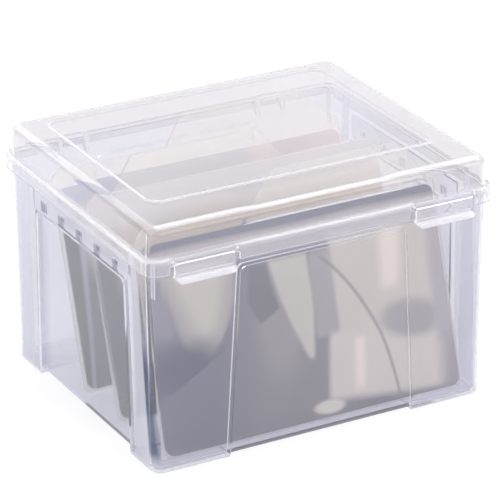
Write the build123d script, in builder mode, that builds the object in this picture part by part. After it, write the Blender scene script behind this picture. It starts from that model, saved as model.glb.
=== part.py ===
from build123d import *
import os
from math import cos, radians, sin, tan

os.makedirs("parts", exist_ok=True)

# Photo keeper case: milky tub on four corner posts, clear domed lid with a hinge and
# two clip latches, clear tabbed dividers with glossy boards.  +X runs along the wide
# front, +Y to the hinge side, +Z up; the origin is under the middle, on the table.

# ---- shared ----
wall = 2.0                 # moulded wall of tub and lid
skin = 0.3                 # cutters reach this far past the face they end on

# ---- tub ----
tub_width = 258.4          # over the corner posts, at the feet
tub_depth = 214.8
tub_corner = 8.5
tub_draft = 0.53           # degrees, the walls widen upward
rim_top = 156.8            # height of the open rim
foot_height = 2.4          # corner feet below the middle of the floor
floor_thick = 2.2
bottom_bevel = 1.2
foot_wall = 4.0            # round the hollow of a corner foot
front_set_back = 1.8       # middle of each wall behind the corner posts
side_set_back = 4.6
front_panel_low = 144.0    # width of the set-back panel at the floor
front_panel_high = 127.0   # and at its top edge
front_panel_drop = 16.6    # from the rim to its top edge
side_panel_low = 142.0
side_panel_high = 134.0
side_panel_drop = 27.6
panel_corner = 5.0

# ---- slot rack inside each side wall ----
rack_drop = 9.6            # from the rim
rack_height = 17.5
rack_end = 16.0            # rack past the middle of its last slot
rack_thick = 1.4
slot_pitch = 27.5
slot_count = 5
slot_width = 8.0
slot_height = 7.5
slot_rise = 2.0            # from the foot of the rack

# ---- lid ----
seat_gap = 0.4             # rim to the seat in the lid
skirt_gap = 2.1            # rim to the inside of the skirt
skirt_height = 11.0
flange_corner = 11.5
flange_round = 2.5
dome_step = 0.3            # dome over the rim, each side
dome_height = 21.5         # flange to ledge
dome_corner = 8.5
dome_draft = 2.0           # degrees, narrowing upward
dome_round = 7.0
side_ledge = 19.6          # dome edge to the raised panel
front_ledge = 37.0
rear_ledge = 17.2
panel_rise = 2.0
top_panel_corner = 11.0
top_panel_bevel = 0.9
rear_skirt_lift = 2.2      # the skirt is shorter at the back, clear of the swing
rear_skirt_depth = 9.5

# ---- finger recess along the front edge of the lid ----
recess_half = 62.0         # at the surface
recess_flat_half = 50.0    # at full depth
recess_depth = 2.2         # under the ledge
recess_set_back = 4.1      # behind the front of the dome
recess_height = 9.0        # down the front wall
recess_round = 6.0

# ---- latches ----
latch_inset = 42.4         # side of the flange to the middle of the latch
latch_width = 45.5
latch_gap = 0.3            # each side, latch to cheek
cheek_width = 3.2
cheek_set_in = 1.0         # cheek behind the front of the flange
barrel_radius = 2.1
barrel_gap = 0.3           # barrel to the tub
axis_drop = 3.1            # pivot under the top of the flange
notch_gap = 0.2            # dome to the latch notch
plate_thick = 2.0
plate_drop = 14.8          # pivot to the lower edge
latch_corner = 5.0
lip_out = 3.6
lip_height = 4.2
lip_face = 2.3
lip_round = 0.9
hook_reach = 2.1
hook_thick = 3.3
hook_nose = 1.2
hook_rise = 1.1            # above the lower edge of the plate
stub_radius = 0.8
stub_length = 2.4
stub_end_gap = 0.3
running_fit = 0.05
catch_gap = 0.4            # hook to the rib above it
catch_out = 1.9
catch_height = 2.0
catch_ramp = 3.2
catch_margin = 1.75        # rib narrower than the latch, each side

# ---- hinge ----
hinge_inset = 54.7         # side of the flange to the middle of the hinge
hinge_out = 0.8            # behind the flange
hinge_drop = 6.5           # under the top of the flange
knuckle_radius = 3.2
knuckle_width = 17.0
knuckle_mouth = 2.4
hinge_pin_radius = 1.7
lug_thick = 3.0
lug_gap = 0.5
lug_height = 9.5           # foot of the lug under the pin
skirt_notch_gap = 1.0

# ---- dividers and boards ----
sheet_thick = 1.2
sheet_side_gap = 4.1       # to the wall, at the floor
sheet_taper = 3.5          # narrower at the shoulders, each side
shoulder_over_rim = 0.4
sheet_corner = 9.0
sheet_foot_corner = 4.0
tab_top = 98.0
tab_slope = 17.5           # each side, top to base
tab_height = 21.4
tab_corner = 6.0
tab_hole = 1.5
tab_hole_in = 6.5
tab_hole_down = 5.0
board_thick = 1.6
board_margin = 2.4         # clear edge of the divider beside the board
board_foot = 2.0
board_corner = 6.5
board_gap = 0.05
floor_gap = 0.05
# name: foot behind the front of the tub, lean back in degrees, middle of the tab along X,
# top of the board under the shoulder of the divider
dividers = {"front": (8.4, 15.5, 41.0, 10.2), "middle": (72.4, 20.0, -27.0, 1.2),
            "rear": (124.4, 20.5, 41.0, 12.0)}


def widened(size, height):
    """A tub size grown by the draft at a height."""
    return size + 2 * height * tan(radians(tub_draft))


# ---- places that follow from the sizes ----
floor_top = foot_height + floor_thick
rim_width = widened(tub_width, rim_top)
rim_depth = widened(tub_depth, rim_top)
seat = rim_top + seat_gap
flange_top = seat + wall
flange_bottom = flange_top - skirt_height
flange_width = rim_width + 2 * (skirt_gap + wall)
flange_depth = rim_depth + 2 * (skirt_gap + wall)
skirt_inside = flange_depth / 2 - wall
dome_width = rim_width + 2 * dome_step
dome_depth = rim_depth + 2 * dome_step
ledge_top = flange_top + dome_height
top_panel_width = dome_width - 2 * side_ledge
top_panel_front = -dome_depth / 2 + front_ledge
top_panel_back = dome_depth / 2 - rear_ledge
latch_center = flange_width / 2 - latch_inset
latch_axis_y = -rim_depth / 2 - barrel_gap - barrel_radius
latch_axis_z = flange_top - axis_drop
cheek_inner = latch_width / 2 + latch_gap
plate_front = latch_axis_y - barrel_radius
plate_back = plate_front + plate_thick
plate_bottom = latch_axis_z - plate_drop
hook_bottom = plate_bottom + hook_rise
hook_top = hook_bottom + hook_thick
catch_bottom = hook_top + catch_gap
tub_front = -widened(tub_depth, hook_top) / 2
hinge_center = flange_width / 2 - hinge_inset
hinge_y = flange_depth / 2 + hinge_out
hinge_z = flange_top - hinge_drop
tub_back = widened(tub_depth, hinge_z) / 2
lug_center = knuckle_width / 2 + lug_gap + lug_thick / 2
sheet_low = tub_width - 2 * (wall + side_set_back + sheet_side_gap)
sheet_high = sheet_low - 2 * sheet_taper
sheet_height = rim_top + shoulder_over_rim


def wall_panels(inset, margin):
    """Blocks that set the middle of the four walls back from the corner posts."""
    fronts = (tub_depth / 2 - front_set_back, front_panel_low, front_panel_high,
              rim_top - front_panel_drop)
    sides = (tub_width / 2 - side_set_back, side_panel_low, side_panel_high,
             rim_top - side_panel_drop)
    with BuildPart() as blocks:
        for out, sizes in ((Vector(0, -1), fronts), (Vector(0, 1), fronts),
                           (Vector(-1, 0), sides), (Vector(1, 0), sides)):
            reach, low, high, top = sizes
            slope = radians(tub_draft)
            on_wall = Plane(origin=out * (reach - inset), x_dir=(-out.Y, out.X, 0),
                            z_dir=(out.X * cos(slope), out.Y * cos(slope), -sin(slope)))
            with BuildSketch(on_wall) as outline:
                Polygon((-low / 2 - margin, -tub_corner), (low / 2 + margin, -tub_corner),
                        (high / 2 + margin, top + margin), (-high / 2 - margin, top + margin),
                        align=None)
                fillet(outline.vertices().group_by(Axis.Y)[-1], panel_corner)
            extrude(amount=tub_corner)
    return blocks.part


# ================= tub =================
outer_panels = wall_panels(0, 0)
inner_panels = wall_panels(wall, wall)

with BuildPart() as tub_outer:
    with BuildSketch():
        RectangleRounded(tub_width, tub_depth, tub_corner)
    extrude(amount=rim_top, taper=-tub_draft)
    chamfer(tub_outer.faces().sort_by(Axis.Z)[0].edges(), bottom_bevel)
    add(outer_panels, mode=Mode.SUBTRACT)
    with BuildSketch():
        Rectangle(front_panel_low, rim_depth)
        Rectangle(rim_width, side_panel_low)
    extrude(amount=foot_height, mode=Mode.SUBTRACT)

with BuildPart() as tub_inner:
    with BuildSketch(Plane.XY.offset(floor_top)):
        RectangleRounded(widened(tub_width, floor_top) - 2 * wall,
                         widened(tub_depth, floor_top) - 2 * wall, tub_corner - wall)
    extrude(amount=rim_top, taper=-tub_draft)
    add(inner_panels, mode=Mode.SUBTRACT)
    with BuildSketch(Plane.XY.offset(floor_thick)):      # hollow feet
        RectangleRounded(tub_width - 2 * foot_wall, tub_depth - 2 * foot_wall,
                         tub_corner - foot_wall)
        Rectangle(front_panel_low + 2 * wall, tub_depth, mode=Mode.SUBTRACT)
        Rectangle(tub_width, side_panel_low + 2 * wall, mode=Mode.SUBTRACT)
    extrude(amount=foot_height + skin)

with BuildPart() as tub:
    add(tub_outer.part)
    add(tub_inner.part, mode=Mode.SUBTRACT)

    # slot racks along the side walls
    rack_top = rim_top - rack_drop
    rack_bottom = rack_top - rack_height
    rack_face = widened(tub_width, rack_bottom) / 2 - wall - rack_thick
    for side in (-1, 1):
        with BuildSketch(Plane.YZ.offset(side * rack_face)):
            with Locations((0, (rack_bottom + rack_top) / 2)):
                Rectangle((slot_count - 1) * slot_pitch + 2 * rack_end, rack_height)
            with Locations((0, rack_bottom + slot_rise + slot_height / 2)):
                with GridLocations(slot_pitch, 1, slot_count, 1):
                    Rectangle(slot_width, slot_height, mode=Mode.SUBTRACT)
        extrude(amount=side * (rack_thick + wall / 2))

    # catch ribs that the latches hook under
    for side in (-1, 1):
        with BuildSketch(Plane.YZ.offset(side * latch_center)):
            Polygon((tub_front + wall / 2, catch_bottom),
                    (tub_front - catch_out, catch_bottom),
                    (tub_front - catch_out, catch_bottom + catch_height),
                    (tub_front, catch_bottom + catch_height + catch_ramp),
                    (tub_front + wall / 2, catch_bottom + catch_height + catch_ramp),
                    align=None)
        extrude(amount=latch_width / 2 - catch_margin, both=True)

    # hinge lugs with their moulded pins
    for station in (-hinge_center, hinge_center):
        for lug in (-lug_center, lug_center):
            with BuildSketch(Plane.YZ.offset(station + lug)):
                with Locations((hinge_y, hinge_z)):
                    Circle(knuckle_radius)
                with Locations((tub_back - wall / 2, hinge_z + (knuckle_radius - lug_height) / 2)):
                    Rectangle(wall / 2, knuckle_radius + lug_height)
                make_hull()
            extrude(amount=lug_thick / 2, both=True)
        with BuildSketch(Plane.YZ.offset(station)):
            with Locations((hinge_y, hinge_z)):
                Circle(hinge_pin_radius)
        extrude(amount=lug_center, both=True)
tub.part.label = "tub"
export_step(tub.part, "parts/tub.step")


# ================= lid =================
def recess_block(inset):
    """Finger recess as a solid; inset grows it inward by a wall."""
    over = ledge_top + 2 * panel_rise
    beyond = -flange_depth / 2
    back = top_panel_front + inset
    floor = ledge_top - recess_depth - inset
    face = -dome_depth / 2 + recess_set_back + inset
    sill = ledge_top - recess_height - inset
    # where the ends run out, just outside the round of the dome
    out_top = ledge_top - inset + skin
    lean_in = (out_top - seat) * tan(radians(dome_draft))
    out_front = -dome_depth / 2 + inset + lean_in - skin
    with BuildPart() as recess:
        sections = []
        for x, level, front, corner in (
                (recess_flat_half + inset, floor, face, recess_round - inset),
                (recess_half + inset, out_top, out_front, dome_round - inset)):
            with BuildSketch(mode=Mode.PRIVATE) as section:
                Polygon((back, over), (back, level), (front, level), (front - skin, sill),
                        (beyond, sill), (beyond, over), align=None)
                fillet(section.vertices().sort_by_distance((front, level))[0], corner)
            sections.append((x, section.sketch))
        middle_x, middle = sections[0]
        with BuildSketch(Plane.YZ):
            add(middle)
        extrude(amount=middle_x, both=True)
        for side in (-1, 1):
            for x, outline in sections:
                with BuildSketch(Plane.YZ.offset(side * x)):
                    add(outline)
            loft(ruled=True)
    return recess.part


recess_outer = recess_block(0)
recess_inner = recess_block(wall)
top_panel_depth = top_panel_back - top_panel_front
top_panel_middle = (top_panel_back + top_panel_front) / 2

with BuildPart() as lid_dome:
    with BuildSketch(Plane.XY.offset(seat)):
        RectangleRounded(dome_width, dome_depth, dome_corner)
    extrude(amount=ledge_top - seat, taper=dome_draft)
    fillet(lid_dome.faces().sort_by(Axis.Z)[-1].edges(), dome_round)
    with BuildSketch(Plane.XY.offset(ledge_top - wall)):
        with Locations((0, top_panel_middle)):
            RectangleRounded(top_panel_width, top_panel_depth, top_panel_corner)
    extrude(amount=panel_rise + wall)
    chamfer(lid_dome.faces().sort_by(Axis.Z)[-1].edges(), top_panel_bevel)
    add(recess_outer, mode=Mode.SUBTRACT)

with BuildPart() as lid_flange:
    with BuildSketch(Plane.XY.offset(flange_bottom)):
        RectangleRounded(flange_width, flange_depth, flange_corner)
    extrude(amount=skirt_height)
    fillet(lid_flange.faces().sort_by(Axis.Z)[-1].edges(), flange_round)

with BuildPart() as lid_hollow:
    with BuildSketch(Plane.XY.offset(seat - skin)):
        RectangleRounded(dome_width - 2 * wall, dome_depth - 2 * wall, dome_corner - wall)
    extrude(amount=ledge_top - wall - seat + skin, taper=dome_draft)
    fillet(lid_hollow.faces().sort_by(Axis.Z)[-1].edges(), dome_round - wall)
    with BuildSketch(Plane.XY.offset(ledge_top - 2 * wall)):
        with Locations((0, top_panel_middle)):
            RectangleRounded(top_panel_width - 2 * wall, top_panel_depth - 2 * wall,
                             top_panel_corner - wall)
    extrude(amount=panel_rise + wall)
    add(recess_inner, mode=Mode.SUBTRACT)

notch_half = cheek_inner + cheek_width
notch_back = dome_depth / 2 + notch_gap
notch_reach = flange_depth / 2 + skirt_gap - notch_back
cheek_bottom = latch_axis_z - barrel_radius - latch_gap
cheek_top = flange_top - wall / 2
cheek_front = flange_depth / 2 - cheek_set_in

with BuildPart() as lid:
    add(lid_dome.part)
    add(lid_flange.part)
    add(lid_hollow.part, mode=Mode.SUBTRACT)
    with BuildSketch(Plane.XY.offset(flange_bottom)):                # inside of the skirt
        RectangleRounded(flange_width - 2 * wall, flange_depth - 2 * wall, flange_corner - wall)
    extrude(amount=seat - flange_bottom, mode=Mode.SUBTRACT)
    with BuildSketch(Plane.XY.offset(flange_bottom)):                # shorter skirt at the back
        with Locations((0, flange_depth / 2)):
            Rectangle(flange_width, 2 * rear_skirt_depth)
    extrude(amount=rear_skirt_lift, mode=Mode.SUBTRACT)

    # latch notches, their cheeks and pivot holes
    for side in (-1, 1):
        middle = side * latch_center
        with BuildSketch(Plane.XZ.offset(notch_back)):
            with Locations((middle, (flange_bottom + cheek_bottom) / 2)):
                Rectangle(2 * notch_half, cheek_bottom - flange_bottom)
            with Locations((middle, (flange_bottom + flange_top) / 2)):
                Rectangle(2 * cheek_inner, skirt_height)
        extrude(amount=notch_reach, mode=Mode.SUBTRACT)
        with BuildSketch(Plane.XZ.offset(notch_back)):
            for end in (-1, 1):
                with Locations((middle + end * (cheek_inner + cheek_width / 2),
                                (cheek_bottom + cheek_top) / 2)):
                    Rectangle(cheek_width, cheek_top - cheek_bottom)
        extrude(amount=cheek_front - notch_back)
        with BuildSketch(Plane.YZ.offset(middle)):
            with Locations((latch_axis_y, latch_axis_z)):
                Circle(stub_radius + running_fit)
        extrude(amount=cheek_inner + stub_length, both=True, mode=Mode.SUBTRACT)

    # hinge knuckles that snap over the pins of the tub
    bridge_top = seat + wall / 2
    for station in (-hinge_center, hinge_center):
        with BuildSketch(Plane.XY.offset(flange_bottom)):
            with Locations((station, flange_depth / 2)):
                Rectangle(2 * (lug_center + lug_thick / 2 + skirt_notch_gap), 2 * (wall + skin))
        extrude(amount=seat - flange_bottom, mode=Mode.SUBTRACT)
        with BuildSketch(Plane.YZ.offset(station)):
            with Locations((hinge_y, hinge_z)):
                Circle(knuckle_radius)
            with Locations((skirt_inside + wall, (hinge_z + bridge_top) / 2)):
                Rectangle(2 * wall, bridge_top - hinge_z)
        extrude(amount=knuckle_width / 2, both=True)
        with BuildSketch(Plane.YZ.offset(station)):
            with Locations((hinge_y, hinge_z)):
                Circle(hinge_pin_radius + running_fit)
            with Locations((hinge_y, hinge_z - knuckle_radius)):
                Rectangle(knuckle_mouth, 2 * knuckle_radius)
        extrude(amount=knuckle_width / 2, both=True, mode=Mode.SUBTRACT)
lid.part.label = "lid"
export_step(lid.part, "parts/lid.step")


# ================= latches =================
def latch_piece(middle):
    """One clip latch: pivot barrel with its stubs, plate, hook and pull lip."""
    with BuildPart() as latch:
        with BuildSketch(Plane.YZ.offset(middle)) as profile:
            with Locations((latch_axis_y, latch_axis_z)):
                Circle(barrel_radius)
            Polygon((plate_front, plate_bottom), (plate_back, plate_bottom),
                    (plate_back, latch_axis_z), (plate_front, latch_axis_z), align=None)
            Polygon((plate_back, hook_bottom), (plate_back + hook_reach, hook_bottom + hook_nose),
                    (plate_back + hook_reach, hook_top), (plate_back, hook_top), align=None)
            Polygon((plate_front, plate_bottom), (plate_front - lip_out, plate_bottom),
                    (plate_front - lip_out, plate_bottom + lip_face),
                    (plate_front, plate_bottom + lip_height), align=None)
            fillet(profile.vertices().sort_by(Axis.X)[:2], lip_round)
        extrude(amount=latch_width / 2, both=True)
        with BuildSketch(Plane.XZ) as front:
            with Locations((middle, (plate_bottom + flange_top) / 2)):
                Rectangle(latch_width, flange_top - plate_bottom)
            fillet(front.vertices().group_by(Axis.Y)[0], latch_corner)
        extrude(amount=flange_depth, mode=Mode.INTERSECT)
        with BuildSketch(Plane.YZ.offset(middle)):
            with Locations((latch_axis_y, latch_axis_z)):
                Circle(stub_radius)
        extrude(amount=cheek_inner + stub_length - stub_end_gap, both=True)
    return latch.part


for name, side in (("left_latch", -1), ("right_latch", 1)):
    latch = latch_piece(side * latch_center)
    latch.label = name
    export_step(latch, f"parts/{name}.step")


# ================= dividers and boards =================
def divider_sheet(plane, tab):
    """Clear sheet with rounded shoulders and a trapezoid tab."""
    tab_base = tab_top + 2 * tab_slope
    peak = sheet_height + tab_height
    with BuildPart() as sheet:
        with BuildSketch(mode=Mode.PRIVATE) as page:
            Polygon((-sheet_low / 2, 0), (sheet_low / 2, 0), (sheet_high / 2, sheet_height),
                    (-sheet_high / 2, sheet_height), align=None)
            fillet(page.vertices().group_by(Axis.Y)[-1], sheet_corner)
            fillet(page.vertices().group_by(Axis.Y)[0], sheet_foot_corner)
        with BuildSketch(mode=Mode.PRIVATE) as flag:
            Polygon((tab - tab_base / 2, sheet_height), (tab + tab_base / 2, sheet_height),
                    (tab + tab_top / 2, peak), (tab - tab_top / 2, peak), align=None)
            fillet(flag.vertices().group_by(Axis.Y)[-1], tab_corner)
        with BuildSketch(plane):
            add(page.sketch)
            add(flag.sketch)
            with Locations((tab + tab_top / 2 - tab_hole_in, peak - tab_hole_down)):
                Circle(tab_hole, mode=Mode.SUBTRACT)
        extrude(amount=-sheet_thick)
    return sheet.part


def glossy_board(plane, drop):
    """Glossy board on the front of a divider."""
    low, high = sheet_low / 2 - board_margin, sheet_high / 2 - board_margin
    board_height = sheet_height - drop
    with BuildPart() as board:
        with BuildSketch(plane.offset(board_gap)) as outline:
            Polygon((-low, board_foot), (low, board_foot), (high, board_height),
                    (-high, board_height), align=None)
            fillet(outline.vertices(), board_corner)
        extrude(amount=board_thick)
    return board.part


for name, (foot, lean, tab, drop) in dividers.items():
    a = radians(lean)
    foot_plane = Plane(origin=(0, foot - tub_depth / 2, floor_top + floor_gap + sheet_thick * sin(a)),
                       x_dir=(1, 0, 0), z_dir=(0, -cos(a), sin(a)))
    sheet = divider_sheet(foot_plane, tab)
    sheet.label = f"{name}_divider"
    export_step(sheet, f"parts/{name}_divider.step")
    board = glossy_board(foot_plane, drop)
    board.label = f"{name}_board"
    export_step(board, f"parts/{name}_board.step")
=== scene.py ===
import math

import bmesh
import bpy
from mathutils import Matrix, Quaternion, Vector

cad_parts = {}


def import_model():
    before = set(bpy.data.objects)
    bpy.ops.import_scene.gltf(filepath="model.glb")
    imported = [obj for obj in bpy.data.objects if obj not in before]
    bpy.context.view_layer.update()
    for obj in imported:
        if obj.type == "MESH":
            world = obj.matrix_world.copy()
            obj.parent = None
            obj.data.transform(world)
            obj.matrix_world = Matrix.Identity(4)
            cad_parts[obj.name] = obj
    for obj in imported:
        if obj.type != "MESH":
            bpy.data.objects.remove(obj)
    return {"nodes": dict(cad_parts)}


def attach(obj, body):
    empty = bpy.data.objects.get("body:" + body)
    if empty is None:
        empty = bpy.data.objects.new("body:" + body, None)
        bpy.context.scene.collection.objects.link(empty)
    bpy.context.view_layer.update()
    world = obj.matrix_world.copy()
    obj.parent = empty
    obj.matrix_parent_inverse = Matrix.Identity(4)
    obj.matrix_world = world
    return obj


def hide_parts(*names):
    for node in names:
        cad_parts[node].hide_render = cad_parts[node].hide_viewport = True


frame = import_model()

# The case in its CAD frame: +X along the wide front, +Y to the hinge side, metres.
MM = 0.001
SLOT_PITCH = 27.5 * MM          # along a slot rack, one slot at the middle of the side
POST_SLANT = 0.088              # run of a corner post's edge along the side, per height
FOLD = math.radians(32)         # faces that fold by more than this meet in an edge
PAINTED_SHADE, PAINTED_SHADE_SHARE = "#56617f", 0.55    # painted shade and painted dark refraction: a dark scatter colour and its share, for the slot pockets and the near left corner of the tub
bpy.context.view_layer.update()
scene = bpy.context.scene


# ---------------------------------------------------------------- materials
def linear(code):
    """An sRGB hex colour as linear RGBA."""
    parts = [int(code[i:i + 2], 16) / 255 for i in (1, 3, 5)]
    return [p / 12.92 if p <= 0.04045 else ((p + 0.055) / 1.055) ** 2.4 for p in parts] + [1.0]


def add(tree, kind, settings=None, **links):
    """Adds a node with its settings; links name input sockets (spaces as _) and take a value
    or an output socket."""
    node = tree.nodes.new(kind)
    for name, value in (settings or {}).items():
        setattr(node, name, value)
    for name, value in links.items():
        key = int(name[1:]) if name[1:].isdigit() and name[0] == "i" else name.replace("_", " ")
        if isinstance(value, bpy.types.NodeSocket):
            tree.links.new(value, node.inputs[key])
        else:
            node.inputs[key].default_value = value
    return node


def new_material(name):
    """An empty material, its node tree and its output."""
    material = bpy.data.materials.new(name)
    material.use_nodes = True
    tree = material.node_tree
    tree.nodes.clear()
    return material, tree, add(tree, "ShaderNodeOutputMaterial")


def ramp(tree, value, start, end, to=(0.0, 1.0)):
    """Smooth step of a value from start to end, written from to[0] to to[1]."""
    step = add(tree, "ShaderNodeMapRange", {"interpolation_type": "SMOOTHSTEP"}, Value=value)
    for key, number in (("From Min", start), ("From Max", end), ("To Min", to[0]),
                        ("To Max", to[1])):
        step.inputs[key].default_value = number
    return step.outputs[0]


def maths(tree, operation, first, second=0.0):
    """The result of one sum on two values or sockets."""
    return add(tree, "ShaderNodeMath", {"operation": operation}, i0=first, i1=second).outputs[0]


def place_in(tree):
    """The place on the case, in its own frame."""
    return add(tree, "ShaderNodeTexCoord").outputs["Object"]


def moulded_waves(tree, wave_mm, depth_mm):
    """Bump of a moulded skin: slow sink waves, sizes in millimetres."""
    wave = add(tree, "ShaderNodeTexNoise", Vector=place_in(tree), Scale=1 / (wave_mm * MM),
               Detail=1.0, Roughness=0.4)
    return add(tree, "ShaderNodeBump", Strength=1.0, Distance=depth_mm * MM, Height=wave.outputs[0])


def clear_plastic(name, tint, ior, roughness, haze, haze_tint, lamp_tint, skin, thick=None,
                  painted_shade=None):
    """A clear moulded plastic: refracting wall with a share of milky scatter.

    thick builds an extra share of scatter where the moulding is thick; the last argument masks painted
    shade, a share of scatter in a dark painted shade colour."""
    material, tree, out = new_material(name)
    bump = moulded_waves(tree, *skin)
    glass = add(tree, "ShaderNodeBsdfPrincipled", Base_Color=linear(tint), Roughness=roughness,
                IOR=ior, Transmission_Weight=1.0, Normal=bump.outputs["Normal"])
    shade = painted_shade(tree) if painted_shade else 0.0
    # painted shade: the milk colour turns to the dark shade colour under the painted shade mask
    milky = over(tree, haze_tint, shade, PAINTED_SHADE)
    milk_front = add(tree, "ShaderNodeBsdfDiffuse", Color=milky)
    milk_through = add(tree, "ShaderNodeBsdfTranslucent", Color=milky)
    milk = add(tree, "ShaderNodeMixShader", Fac=0.5, i1=milk_front.outputs[0],
               i2=milk_through.outputs[0])
    share = maths(tree, "MAXIMUM", thick(tree), haze) if thick else haze
    # painted shade also raises the share of scatter where it lies
    if painted_shade:
        share = maths(tree, "MAXIMUM", share, maths(tree, "MULTIPLY", shade, PAINTED_SHADE_SHARE))
    wall = add(tree, "ShaderNodeMixShader", Fac=share, i1=glass.outputs[0], i2=milk.outputs[0])
    # lamps, bounced light and reflections go straight through: a simplification that leaves
    # out the dark refracted edges of a thick wall
    lamp = add(tree, "ShaderNodeBsdfTransparent", Color=linear(lamp_tint))
    path = add(tree, "ShaderNodeLightPath")
    passing = maths(tree, "MAXIMUM", path.outputs["Is Shadow Ray"],
                    maths(tree, "MAXIMUM", path.outputs["Is Diffuse Ray"],
                          path.outputs["Is Reflection Ray"]))
    both = add(tree, "ShaderNodeMixShader", Fac=passing, i1=wall.outputs[0], i2=lamp.outputs[0])
    tree.links.new(both.outputs[0], out.inputs["Surface"])
    return material


def thick_tub(tree):
    """Thick mouldings of the tub: the sides of its corner posts, its feet and the slot racks."""
    place = add(tree, "ShaderNodeSeparateXYZ", Vector=place_in(tree)).outputs
    across, along = (maths(tree, "ABSOLUTE", place[key]) for key in ("X", "Y"))
    slant = maths(tree, "ADD", along, maths(tree, "MULTIPLY", place["Z"], POST_SLANT))
    post = maths(tree, "MULTIPLY", ramp(tree, across, 126 * MM, 127 * MM, (0, 0.5)),
                 maths(tree, "MULTIPLY", ramp(tree, along, 76 * MM, 80 * MM),
                       ramp(tree, slant, 99.2 * MM, 101 * MM, (1, 0))))
    foot = ramp(tree, place["Z"], 0.5 * MM, 7 * MM, (0.34, 0.0))
    rack = maths(tree, "MULTIPLY", ramp(tree, across, 127.3 * MM, 127.7 * MM, (0.75, 0)),
                 maths(tree, "MULTIPLY", ramp(tree, across, 126.4 * MM, 126.8 * MM),
                       ramp(tree, place["Z"], 129.0 * MM, 129.8 * MM)))
    return maths(tree, "MAXIMUM", maths(tree, "MAXIMUM", post, foot), rack)


def painted_shade_tub(tree):
    """Mask of painted shade on the tub: painted shade in the pockets of the slots and a painted dark
    refraction at the near left corner rounding.
    """
    place = add(tree, "ShaderNodeSeparateXYZ", Vector=place_in(tree)).outputs
    across = maths(tree, "ABSOLUTE", place["X"])
    along = maths(tree, "ABSOLUTE", place["Y"])
    # painted shade in the pockets of the slots
    pocket = ramp(tree, maths(tree, "PINGPONG", place["Y"], SLOT_PITCH / 2), 3.6 * MM,
                  4.2 * MM, (1, 0))
    for mask in (ramp(tree, along, 58.5 * MM, 59.5 * MM, (1, 0)),
                 ramp(tree, across, 127.8 * MM, 128.1 * MM),
                 ramp(tree, place["Z"], 131.2 * MM, 132.0 * MM),
                 ramp(tree, place["Z"], 138.8 * MM, 139.6 * MM, (1, 0))):
        pocket = maths(tree, "MULTIPLY", pocket, mask)
    # painted dark refraction: a slanting strip beside the light side of the post
    slant = maths(tree, "ADD", along, maths(tree, "MULTIPLY", place["Z"], POST_SLANT))
    corner = ramp(tree, slant, 99.5 * MM, 101 * MM)
    for mask in (ramp(tree, slant, 106.5 * MM, 108.5 * MM, (1, 0)),
                 ramp(tree, place["X"], -122 * MM, -124.5 * MM),
                 ramp(tree, place["Y"], -80 * MM, -82 * MM),
                 ramp(tree, place["Z"], 4 * MM, 16 * MM),
                 ramp(tree, place["Z"], 75 * MM, 115 * MM, (1, 0))):
        corner = maths(tree, "MULTIPLY", corner, mask)
    return maths(tree, "MAXIMUM", maths(tree, "MULTIPLY", pocket, 0.75), corner)


def thick_lid(tree):
    """Thick mouldings of the lid: its flange, and less so the skirt under it."""
    height = add(tree, "ShaderNodeSeparateXYZ", Vector=place_in(tree)).outputs["Z"]
    return maths(tree, "MULTIPLY", ramp(tree, height, 155 * MM, 157 * MM, (0.10, 0.24)),
                 ramp(tree, height, 159.5 * MM, 162 * MM, (1, 0)))


def sheet_margin(tree):
    """Margin of a divider sheet that shows beside its board."""
    place = add(tree, "ShaderNodeSeparateXYZ", Vector=place_in(tree)).outputs
    return ramp(tree, maths(tree, "ABSOLUTE", place["X"]), 115.0 * MM, 116.5 * MM, (0.0, 0.42))


def lip(tree):
    """White lip along the foot of a latch."""
    height = add(tree, "ShaderNodeSeparateXYZ", Vector=place_in(tree)).outputs["Z"]
    return ramp(tree, height, 143.5 * MM, 145 * MM, (0.55, 0.0))


# ---- soft shapes of the painted reflections on the boards, on X and Z in millimetres ----
def polygon(tree, where, corners, blur):
    """Soft convex polygon, corners counter-clockwise as (x, z)."""
    inside = None
    for (ax, az), (bx, bz) in zip(corners, corners[1:] + corners[:1]):
        side = Vector((az - bz, 0, bx - ax)).normalized()
        edge = (side.x * ax + side.z * az) * MM
        reach = add(tree, "ShaderNodeVectorMath", {"operation": "DOT_PRODUCT"}, i0=where, i1=side)
        within = ramp(tree, reach.outputs["Value"], edge - blur * MM, edge + blur * MM)
        inside = maths(tree, "MULTIPLY", inside, within) if inside else within
    return inside


def radius_from(tree, where, centre, radii, turn=0.0):
    """Distance from a centre (x, z) in units of the radii, turned about Y."""
    spot = add(tree, "ShaderNodeMapping", {"vector_type": "TEXTURE"}, Vector=where,
               Location=(centre[0] * MM, 0, centre[1] * MM), Rotation=(0, math.radians(turn), 0),
               Scale=(radii[0] * MM, 1000.0, radii[1] * MM))
    return add(tree, "ShaderNodeVectorMath", {"operation": "LENGTH"},
               i0=spot.outputs[0]).outputs["Value"]


def ellipse(tree, where, centre, radii, blur, turn=0.0):
    """Soft ellipse."""
    return ramp(tree, radius_from(tree, where, centre, radii, turn), 1 - blur, 1 + blur, (1, 0))


def hoop(tree, where, centre, radius, width):
    """Thin soft ring."""
    off = maths(tree, "SUBTRACT", radius_from(tree, where, centre, (radius, radius)), 1.0)
    return ramp(tree, maths(tree, "ABSOLUTE", off), 0.0, width / radius, (1, 0))


def over(tree, under, mask, upper, strength=1.0):
    """Lays a colour over another through a mask; colours are hex codes or output sockets."""
    factor = mask if strength == 1.0 else maths(tree, "MULTIPLY", mask, strength)
    mix = add(tree, "ShaderNodeMix", {"data_type": "RGBA"}, Factor=factor)
    for socket, colour in ((mix.inputs[6], under), (mix.inputs[7], upper)):
        if isinstance(colour, str):
            socket.default_value = linear(colour)
        else:
            tree.links.new(colour, socket)
    return mix.outputs[2]


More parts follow.
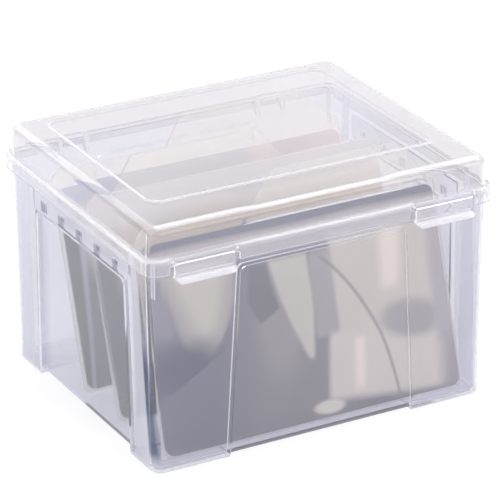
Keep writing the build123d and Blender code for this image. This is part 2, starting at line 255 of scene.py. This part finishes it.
def film(name, painted_reflections):
    """Board laminated with silvery film: its reflections painted into its colour as soft cloudy swathes,
    under a hard gloss.
    """
    material, tree, out = new_material(name)
    drift = add(tree, "ShaderNodeTexNoise", Vector=place_in(tree), Scale=1 / (70 * MM), Detail=1.0)
    shift = add(tree, "ShaderNodeVectorMath", {"operation": "MULTIPLY_ADD"},
                i0=drift.outputs["Color"], i1=(5 * MM, 0, 5 * MM), i2=place_in(tree))
    where = add(tree, "ShaderNodeVectorMath", {"operation": "SUBTRACT"}, i0=shift.outputs[0],
                i1=(2.5 * MM, 0, 2.5 * MM)).outputs[0]
    board = add(tree, "ShaderNodeBsdfPrincipled", Base_Color=painted_reflections(tree, where), Roughness=0.12,
                IOR=1.45)
    tree.links.new(board.outputs[0], out.inputs["Surface"])
    return material


def front_painted_reflections(tree, where):
    """Painted reflections on the front board: light and dark swathes."""
    def lay(under, code, corners, blur, strength=1.0):
        return over(tree, under, polygon(tree, where, corners, blur), code, strength)

    # painted reflection: a dark base, lighter in the middle, at the upper left and in a soft spot
    tone = lay("#6e6e79", "#807e7d", [(-62, 0), (30, 0), (30, 118), (-50, 118)], 22)
    tone = lay(tone, "#8f8d92", [(-125, 84), (-96, 84), (-96, 130), (-125, 130)], 8)
    tone = over(tree, tone, ellipse(tree, where, (-20, 74), (16, 34), 0.5), "#98948f", 0.8)
    # painted reflection: a left wedge of light and a dark patch under it
    tone = lay(tone, "#a9a49b", [(-104, 125), (-92, 74), (-75, 62), (-60, 80), (-50, 100), (-46, 125)], 3)
    tone = lay(tone, "#cac3b1", [(-98, 125), (-82, 80), (-68, 80), (-52, 125)], 8)
    reflected_dark_patch = maths(tree, "MULTIPLY", ellipse(tree, where, (-92, 60), (26, 17), 0.55),
                   ellipse(tree, where, (-176, 241), (206, 206), 0.006))
    tone = over(tree, tone, reflected_dark_patch, "#4d5163")
    tone = lay(tone, "#6a686b", [(-41, 95), (-34, 80), (-18, 88), (-25, 118), (-37, 118)], 1.5)
    # painted reflection: a middle wedge of light, then the grey beside it
    tone = lay(tone, "#c8c1b1", [(-22, 120), (-14, 84), (1, 49), (5, 49), (10, 87), (8, 120)], 2.5)
    tone = lay(tone, "#a59e9b", [(9, 62), (26, 62), (26, 120), (9, 120)], 3)
    # painted reflection: broad light right of the middle with a dark line through it
    tone = lay(tone, "#cdc5b6", [(27, 60), (116, 60), (116, 130), (25, 130)], 3)
    tone = lay(tone, "#d2cabb", [(12, 18), (116, 8), (116, 63), (19, 63), (15, 44)], 4)
    tone = lay(tone, "#eee0d0", [(34, 22), (41, 22), (46, 55), (38, 55)], 3.5)
    tone = lay(tone, "#ebdfcc", [(62, 84), (76, 84), (82, 125), (66, 125)], 5)
    reflected_dark_line = maths(tree, "MULTIPLY", hoop(tree, where, (-78, 6), 145, 2.2),
                   polygon(tree, where, [(16, 0), (75, 0), (75, 120), (16, 120)], 3))
    tone = over(tree, tone, reflected_dark_line, "#8d877f", 0.8)
    tone = over(tree, tone, ellipse(tree, where, (84, 60), (24, 13), 0.35, 8), "#a49c98")
    tone = lay(tone, "#b2abaa", [(103, 40), (125, 40), (125, 130), (103, 130)], 5)
    tone = lay(tone, "#9b989a", [(101, -5), (125, -5), (125, 44), (107, 44)], 8)
    # painted reflection along the foot of the board
    tone = lay(tone, "#807e7e", [(-125, -5), (125, -5), (125, 9), (-125, 9)], 4)
    tone = over(tree, tone, ellipse(tree, where, (11, 14), (12, 4.5), 0.3), "#d6d0bf")
    # painted reflection paler towards the top, then a painted dark cool band along the top edge
    tone = lay(tone, "#b9b4b2", [(-125, 124), (125, 124), (125, 141), (-125, 141)], 3, 0.75)
    return lay(tone, "#62667a", [(-125, 142.5), (125, 142.5), (125, 160), (-125, 160)], 1.2)


def upper_light(tree, spot):
    """Mask of painted light: where a board behind the first one lies in the light of the lid."""
    inner = maths(tree, "MULTIPLY", ramp(tree, spot["Z"], 76 * MM, 98 * MM),
                  ramp(tree, spot["X"], -106 * MM, -90 * MM))
    return maths(tree, "MAXIMUM", inner, ramp(tree, spot["Z"], 118 * MM, 124 * MM, (0, 0.85)))


def middle_painted_reflections(tree, where):
    """Painted reflections on the middle board: dark and cool below and at the left end, painted light
    above.
    """
    spot = add(tree, "ShaderNodeSeparateXYZ", Vector=where).outputs
    lit = over(tree, "#b9ac9f", ramp(tree, spot["Z"], 118 * MM, 140 * MM), "#d9d3d7")
    return over(tree, "#262c44", upper_light(tree, spot), lit)


def rear_painted_reflections(tree, where):
    """Painted reflections on the rear board: dark and cool below with an upright light streak, painted
    light above, a painted lavender band on top.
    """
    spot = add(tree, "ShaderNodeSeparateXYZ", Vector=where).outputs
    tone = over(tree, "#262c44", polygon(tree, where, [(-112, 0), (-60, 0), (-60, 120), (-98, 120)],
                                         2), "#434960")
    tone = over(tree, tone, polygon(tree, where, [(-113.5, 0), (-111, 0), (-97, 118), (-101, 118)],
                                    1.2), "#aeb1c2", 0.9)
    tone = over(tree, tone, upper_light(tree, spot), "#dfd9dd")
    band = over(tree, "#b9bbd0", ramp(tree, spot["X"], 34 * MM, 44 * MM), "#d6cacf")
    return over(tree, tone, ramp(tree, spot["Z"], 128 * MM, 132 * MM), band)


# Natural polypropylene, injection moulded: faintly milky with a cool lavender cast, and painted shade in
# the slot pockets and at the near left corner.
milky_pp = clear_plastic("natural polypropylene", "#ebebf2", 1.49, 0.06, 0.078, "#e2e1ea",
                         "#f2f2f7", (70, 0.06), thick_tub, painted_shade_tub)
# Crystal polystyrene: glass clear, polished mould, hardly any haze.
clear_ps = clear_plastic("crystal polystyrene", "#f4f3f6", 1.52, 0.02, 0.08, "#f3f0f3",
                         "#fafafb", (90, 0.08), thick_lid)
# Polished clear polypropylene of the latches: clear with a little milk.
latch_pp = clear_plastic("clear polypropylene latch", "#f6f5f8", 1.49, 0.04, 0.16, "#f8f6f8",
                         "#f8f8fa", (40, 0.04), lip)
# Calendered vinyl sheet: smooth, warm and a little milky.
sheet_vinyl = clear_plastic("clear vinyl sheet", "#fbf9f7", 1.53, 0.03, 0.14, "#f6f2ea",
                            "#fbf9f7", (60, 0.10), sheet_margin)
# boards whose colour carries painted reflections
board_films = {place: film(f"silvery laminated board, {place}", painted_reflections) for place, painted_reflections in (
    ("front", front_painted_reflections), ("middle", middle_painted_reflections), ("rear", rear_painted_reflections))}


# ---------------------------------------------------------------- pieces
def dressed(node, body, material, soften):
    """A welded copy of a CAD piece that stands for it, its edges softened by some millimetres."""
    mesh = bpy.data.meshes.new(node + "_skin")
    form = bmesh.new()
    form.from_mesh(frame["nodes"][node].data)
    bmesh.ops.remove_doubles(form, verts=form.verts, dist=2e-6)
    bmesh.ops.dissolve_degenerate(form, edges=form.edges, dist=1e-7)
    bmesh.ops.recalc_face_normals(form, faces=form.faces)
    bmesh.ops.dissolve_limit(form, angle_limit=math.radians(0.3), verts=form.verts,
                             edges=form.edges)
    for face in form.faces:
        face.smooth = True
    for edge in form.edges:
        edge.smooth = len(edge.link_faces) == 2 and edge.calc_face_angle() < FOLD
    form.to_mesh(mesh)
    form.free()
    for name in ("custom_normal", "sharp_face"):
        if name in mesh.attributes:
            mesh.attributes.remove(mesh.attributes[name])
    piece = bpy.data.objects.new(node + "_skin", mesh)
    scene.collection.objects.link(piece)
    mesh.materials.append(material)
    bevel = piece.modifiers.new("softened edges", "BEVEL")
    bevel.width = soften * MM
    bevel.segments = 2
    bevel.limit_method = "ANGLE"
    bevel.angle_limit = FOLD
    weigh = piece.modifiers.new("face weighted normals", "WEIGHTED_NORMAL")
    weigh.weight = 100
    weigh.keep_sharp = True
    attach(piece, body)
    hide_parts(node)


dressed("tub", "tub", milky_pp, 0.6)
dressed("lid", "lid", clear_ps, 0.5)
for side in ("left", "right"):
    dressed(f"{side}_latch", f"{side}_latch", latch_pp, 0.4)
for place in ("front", "middle", "rear"):
    dressed(f"{place}_divider", f"{place}_section", sheet_vinyl, 0.2)
    dressed(f"{place}_board", f"{place}_section", board_films[place], 0.2)


# ---------------------------------------------------------------- stage
def floor():
    """White table that only shows the shadow of the object."""
    mesh = bpy.data.meshes.new("table")
    half = 6.0
    mesh.from_pydata([(-half, -half, 0), (half, -half, 0), (half, half, 0), (-half, half, 0)], [],
                     [(0, 1, 2, 3)])
    table = bpy.data.objects.new("table", mesh)
    scene.collection.objects.link(table)
    material, tree, out = new_material("white table")
    path = add(tree, "ShaderNodeLightPath").outputs
    seen = maths(tree, "MAXIMUM", path["Is Camera Ray"],
                 maths(tree, "MAXIMUM", path["Is Glossy Ray"], path["Is Transmission Ray"]))
    lit = add(tree, "ShaderNodeBsdfDiffuse", Color=linear("#f6f6f7"))
    glow = add(tree, "ShaderNodeEmission", Color=(1, 1, 1, 1), Strength=1.0)
    both = add(tree, "ShaderNodeMixShader", Fac=maths(tree, "MULTIPLY", seen, 0.75),
               i1=lit.outputs[0], i2=glow.outputs[0])
    tree.links.new(both.outputs[0], out.inputs["Surface"])
    mesh.materials.append(material)


def world():
    """Pale studio, white overhead and slightly greyer at the horizon."""
    scene.world = bpy.data.worlds.new("studio")
    scene.world.use_nodes = True
    tree = scene.world.node_tree
    tree.nodes.clear()
    out = add(tree, "ShaderNodeOutputWorld")
    toward = add(tree, "ShaderNodeTexCoord").outputs["Generated"]
    height = add(tree, "ShaderNodeSeparateXYZ", Vector=toward).outputs["Z"]
    studio = over(tree, "#dfdfe5", ramp(tree, height, 0.0, 0.4), "#ffffff")
    white = over(tree, studio, add(tree, "ShaderNodeLightPath").outputs["Is Camera Ray"], "#ffffff")
    glow = add(tree, "ShaderNodeBackground", Color=white, Strength=1.0)
    tree.links.new(glow.outputs[0], out.inputs["Surface"])


def softbox(name, place, aim, size, watts, tint="#ffffff"):
    """A rectangular soft lamp that looks at aim."""
    lamp = bpy.data.lights.new(name, "AREA")
    lamp.shape = "RECTANGLE"
    lamp.size, lamp.size_y = size
    lamp.energy = watts
    lamp.color = linear(tint)[:3]
    holder = bpy.data.objects.new(name, lamp)
    holder.location = place
    holder.rotation_euler = (Vector(aim) - Vector(place)).to_track_quat("-Z", "Y").to_euler()
    holder.visible_camera = holder.visible_transmission = False
    scene.collection.objects.link(holder)


def camera():
    """Long lens from the front left, a little above."""
    azimuth, elevation, roll = (math.radians(v) for v in (-28.73, 24.322, -0.193))
    distance, lens, sensor = 2.3379, 239.64, 36.0
    middle = Vector((0, 0, 0.0905))
    aside, above = 0.00256, 0.00508      # the aim, off the middle of the case
    toward = Vector((math.sin(azimuth) * math.cos(elevation),
                     -math.cos(azimuth) * math.cos(elevation), math.sin(elevation)))
    view = bpy.data.cameras.new("camera")
    view.lens, view.sensor_width = lens, sensor
    view.clip_end = 30
    holder = bpy.data.objects.new("camera", view)
    holder.location = middle + toward * distance
    right = Vector((math.cos(azimuth), math.sin(azimuth), 0))
    aim = middle + right * aside + toward.cross(right) * above
    turn = (aim - holder.location).to_track_quat("-Z", "Y")
    holder.rotation_euler = (turn @ Quaternion((0, 0, 1), roll)).to_euler()
    scene.collection.objects.link(holder)
    scene.camera = holder


floor()
world()
camera()
softbox("top softbox", (0.5, 0.0, 1.5), (0, 0, 0.1), (1.3, 1.3), 14)
softbox("rear softbox", (-0.5, 1.6, 1.1), (0, 0, 0.1), (1.4, 0.9), 8)
softbox("left softbox", (-1.5, -0.5, 0.7), (0, 0, 0.1), (0.8, 1.0), 3)
softbox("front fill", (0.7, -1.7, 0.7), (0, 0, 0.08), (1.0, 0.8), 3, "#fff0e2")

scene.view_settings.view_transform = "Standard"
scene.cycles.max_bounces = 24
scene.cycles.transmission_bounces = 24
scene.cycles.transparent_max_bounces = 24
scene.cycles.glossy_bounces = 6
scene.cycles.diffuse_bounces = 3
scene.cycles.caustics_reflective = False
scene.cycles.caustics_refractive = False
